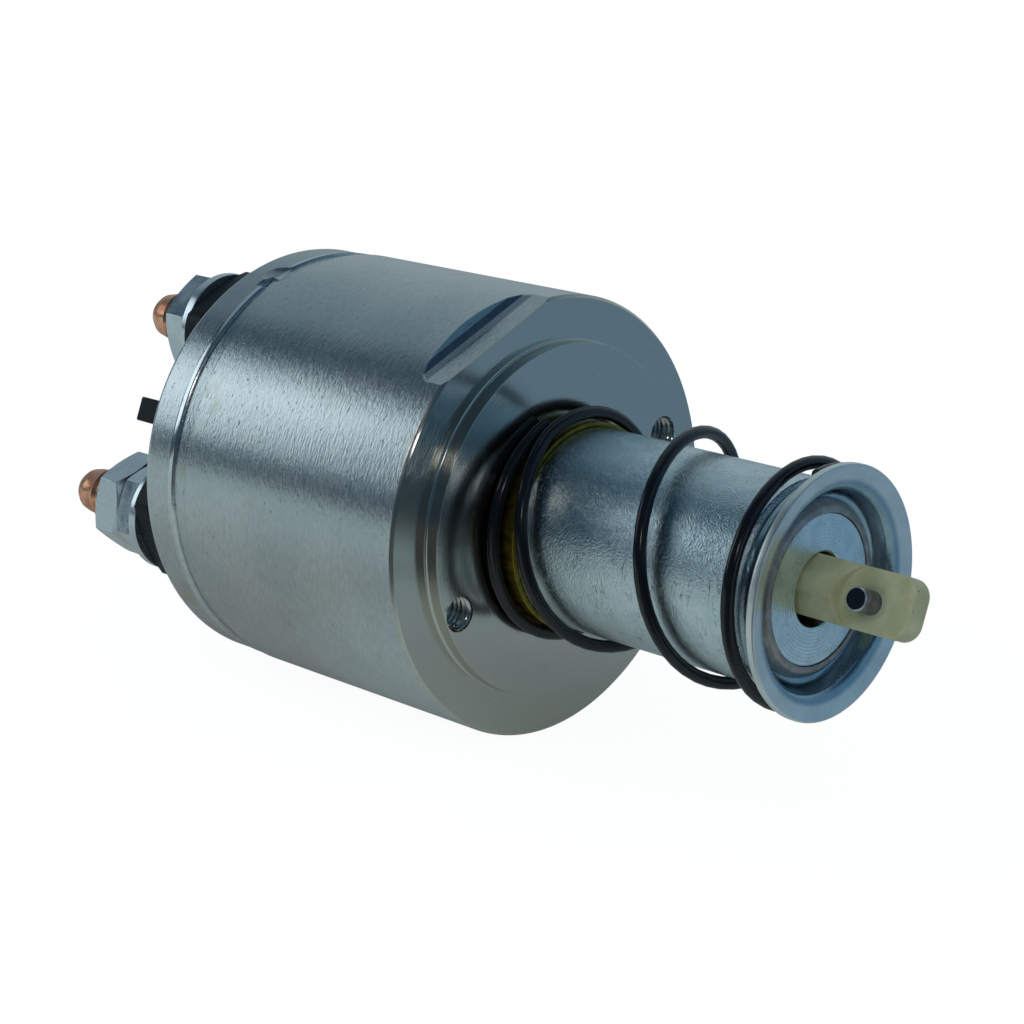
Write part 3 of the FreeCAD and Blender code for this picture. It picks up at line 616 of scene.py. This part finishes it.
clean = nose.blend(clean, patch.blend((0.34, 0.30, 0.28), (0.47, 0.43, 0.41)))
plate.feed("Base Color", (smudge * 0.8).blend(clean, (0.26, 0.25, 0.22)))
plate.feed("Roughness", 0.09 + fine * 0.12 + smudge * 0.15 + nose * 0.2)
plate.relief(dents * 0.02 + fine * 0.08 + scratch * 0.05)
plate.paint(plunger)
fit(plunger, "plunger", "plunger_zinc", "plunger")

retainer = turned("nose_disc", [(42.0, 4.73, 0.3), (42.0, 9.6, 0.2), (39.5, 9.6), (39.5, 4.73)], steps=128)
soften(retainer, 0.05)
faced = Finish("faced_disc_zinc", 0.2, 1.0)
turning = (faced.radius * 14.0).math("SINE")
bloom = faced.mottle(0.5, 3.0, 0.6).band(0.35, 0.7)
fleck = faced.mottle(1.8, 2.0, 0.6, 9.0).band(0.66, 0.72)
clean = bloom.blend((0.80, 0.92, 0.96), (0.68, 0.79, 0.82))
faced.feed("Base Color", (fleck * 0.5).blend(clean, (0.24, 0.28, 0.30)))
faced.feed("Roughness", 0.18 + bloom * 0.14)
faced.relief(turning * 0.01 + faced.mottle(3.0, 3.0) * 0.02)
faced.paint(retainer)
fit(retainer, "plunger", "plunger_zinc", "nose_retainer")


# Spring cup. Pressed from 1.2 mm sheet and zinc plated, with a short neck and a flared rim
# that holds the return spring's last turns.
cup = turned("pressed_spring_cup", [
    (39.6, 10.83), (40.8, 10.83), (40.8, 12.0, 0.6), (43.6, 12.9, 0.7), (44.5, 16.15, 0.3),
    (43.3, 16.15, 0.3), (42.5, 14.1, 0.5), (39.6, 13.2, 0.9)], steps=192)
soften(cup, 0.06)
pressed = Finish("pale_zinc_cup", 0.2, 1.0)
wash = pressed.mottle(0.3, 4.0, 0.6).band(0.3, 0.7)
rim = pressed.radius.band(13.6, 14.4)
# The bowl's dark blue tone is painted shade and the flared rim's pale tone is a painted highlight.
bowl_painted_shade = wash.blend((0.31, 0.43, 0.51), (0.40, 0.52, 0.59))
rim_painted_highlight = wash.blend((0.76, 0.80, 0.80), (0.90, 0.92, 0.90))
pressed.feed("Base Color", rim.blend(bowl_painted_shade, rim_painted_highlight))
pressed.feed("Roughness", 0.16 + rim * 0.22)
pressed.relief(pressed.mottle(1.0, 3.0, 0.6) * 0.04)
pressed.paint(cup)
fit(cup, "plunger", "cup_zinc", "spring_cup")


# Return spring. Black oiled wire, closed at both ends, with two wide turns between the
# boss and the cup that it drives out; its middle bows a little upwards.
def wound_spring(name, wire, radius, start_angle, stretches, bow):
    """Wire extruded ring by ring round X through (turns, advance) stretches."""
    bpy.ops.object.select_all(action="DESELECT")
    bpy.ops.mesh.primitive_circle_add(vertices=16, radius=wire / 2 * MM, location=(0, radius * MM, 0),
                                      fill_type="NGON")
    spring = bpy.context.object
    spring.name = name
    bpy.ops.object.transform_apply(location=True)
    place_piece(spring, turn=start_angle)
    length = sum(advance for turns, advance in stretches)
    travelled = 0.0
    lift = 0.0
    bpy.ops.object.mode_set(mode="EDIT")
    bpy.ops.mesh.select_all(action="SELECT")
    for turns, advance in stretches:
        count = round(turns * 48)
        for step in range(count):
            travelled += advance / count
            next_lift = bow * math.sin(math.pi * travelled / length)
            bpy.ops.mesh.extrude_region_move()
            bpy.ops.transform.rotate(value=-2 * math.pi * turns / count, orient_axis="X",
                                     center_override=(0, 0, lift * MM))
            bpy.ops.transform.translate(value=(advance / count * MM, 0, (next_lift - lift) * MM))
            lift = next_lift
    bpy.ops.mesh.select_all(action="SELECT")
    bpy.ops.mesh.normals_make_consistent(inside=False)
    bpy.ops.object.mode_set(mode="OBJECT")
    return spring


spring = wound_spring("black_return_spring", 1.7, 15.05, 108.4,
                      [(1.02, 2.08), (1.78, 35.38), (1.17, 4.14)], 0.7)
place_piece(spring, x=0.9)
soften(spring, 0.08, limit=60)
oiled = Finish("black_oiled_wire", 0.18)
film = oiled.mottle(0.8, 3.0)
oiled.feed("Base Color", film.blend((0.003, 0.003, 0.006), (0.007, 0.008, 0.012)))
oiled.feed("Roughness", 0.10 + film * 0.12)
oiled.relief(oiled.mottle(1.5) * 0.015)
oiled.paint(spring)
fit(spring, "body", "black_spring_steel", "return_spring")
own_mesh(spring)


# Link. Moulded in natural nylon, with a faceted shank, a flat blade and a round pad on
# each side of it where the steel cross pin goes through.
def lay_across(piece):
    """Turns a piece from X to the cross pin's line and moves it there."""
    only(piece)
    piece.rotation_euler = (0, 0, math.pi / 2)
    bpy.ops.object.transform_apply(rotation=True)
    place_piece(piece, x=50.8, y=0.04, z=0.09, turn=-roll)


link = broad_copy("nylon_link", "link")
soften(link, 0.3, segments=3, limit=25)
collar = turned("pin_collar", [(1.72, 1.5), (1.72, 2.08), (-1.72, 2.08), (-1.72, 1.5)], steps=64)
lay_across(collar)
link.select_set(True)
bpy.context.view_layer.objects.active = link
bpy.ops.object.join()
moulded = Finish("cream_nylon", 0.36, 0.0, Subsurface_Weight=0.25, Subsurface_Scale=0.004)
haze = moulded.mottle(0.35, 3.0).band(0.3, 0.7)
dirt = moulded.mottle(1.6, 3.0, 0.7, 11.0).band(0.68, 0.74) * moulded.x.band(44.0, 56.0)
body_tint = haze.blend((0.50, 0.49, 0.29), (0.64, 0.61, 0.41))
moulded.feed("Base Color", dirt.blend(body_tint, (0.06, 0.05, 0.03)))
moulded.relief(moulded.mottle(0.5, 3.0) * 0.04)
moulded.paint(link)
fit(link, "link", "link_nylon", "link")


# Cross pin. Hardened steel, ground all round and pressed through the link's pads, with
# a painted highlight round the broken edge at its ends and painted shade on its end faces.
pin = turned("steel_cross_pin", [(5.2, 0.0), (5.2, 1.28, 0.05), (4.98, 1.5, 0.1),
                                 (-4.98, 1.5, 0.1), (-5.2, 1.28, 0.05), (-5.2, 0.0)], steps=64)
lay_across(pin)
soften(pin, 0.03)
hard = Finish("ground_pin_steel", 0.4, 1.0)
reach = (hard.z * 0.381 - hard.y * 0.9246).math("ABSOLUTE")
side_tone = hard.mottle(0.9, 3.0).band(0.35, 0.65).blend((0.18, 0.18, 0.21), (0.31, 0.29, 0.31))
# Painted highlight: a pale ring round the broken edge at each end.
edge_highlight_tone = reach.band(4.96, 5.0).blend(side_tone, (0.85, 0.86, 0.90))
# Painted shade: the end faces are near black.
hard.feed("Base Color", reach.band(5.14, 5.18).blend(edge_highlight_tone, (0.07, 0.08, 0.10)))
hard.relief(hard.mottle(2.0) * 0.02)
hard.paint(pin)
fit(pin, "link", "pin_steel", "link_pin")
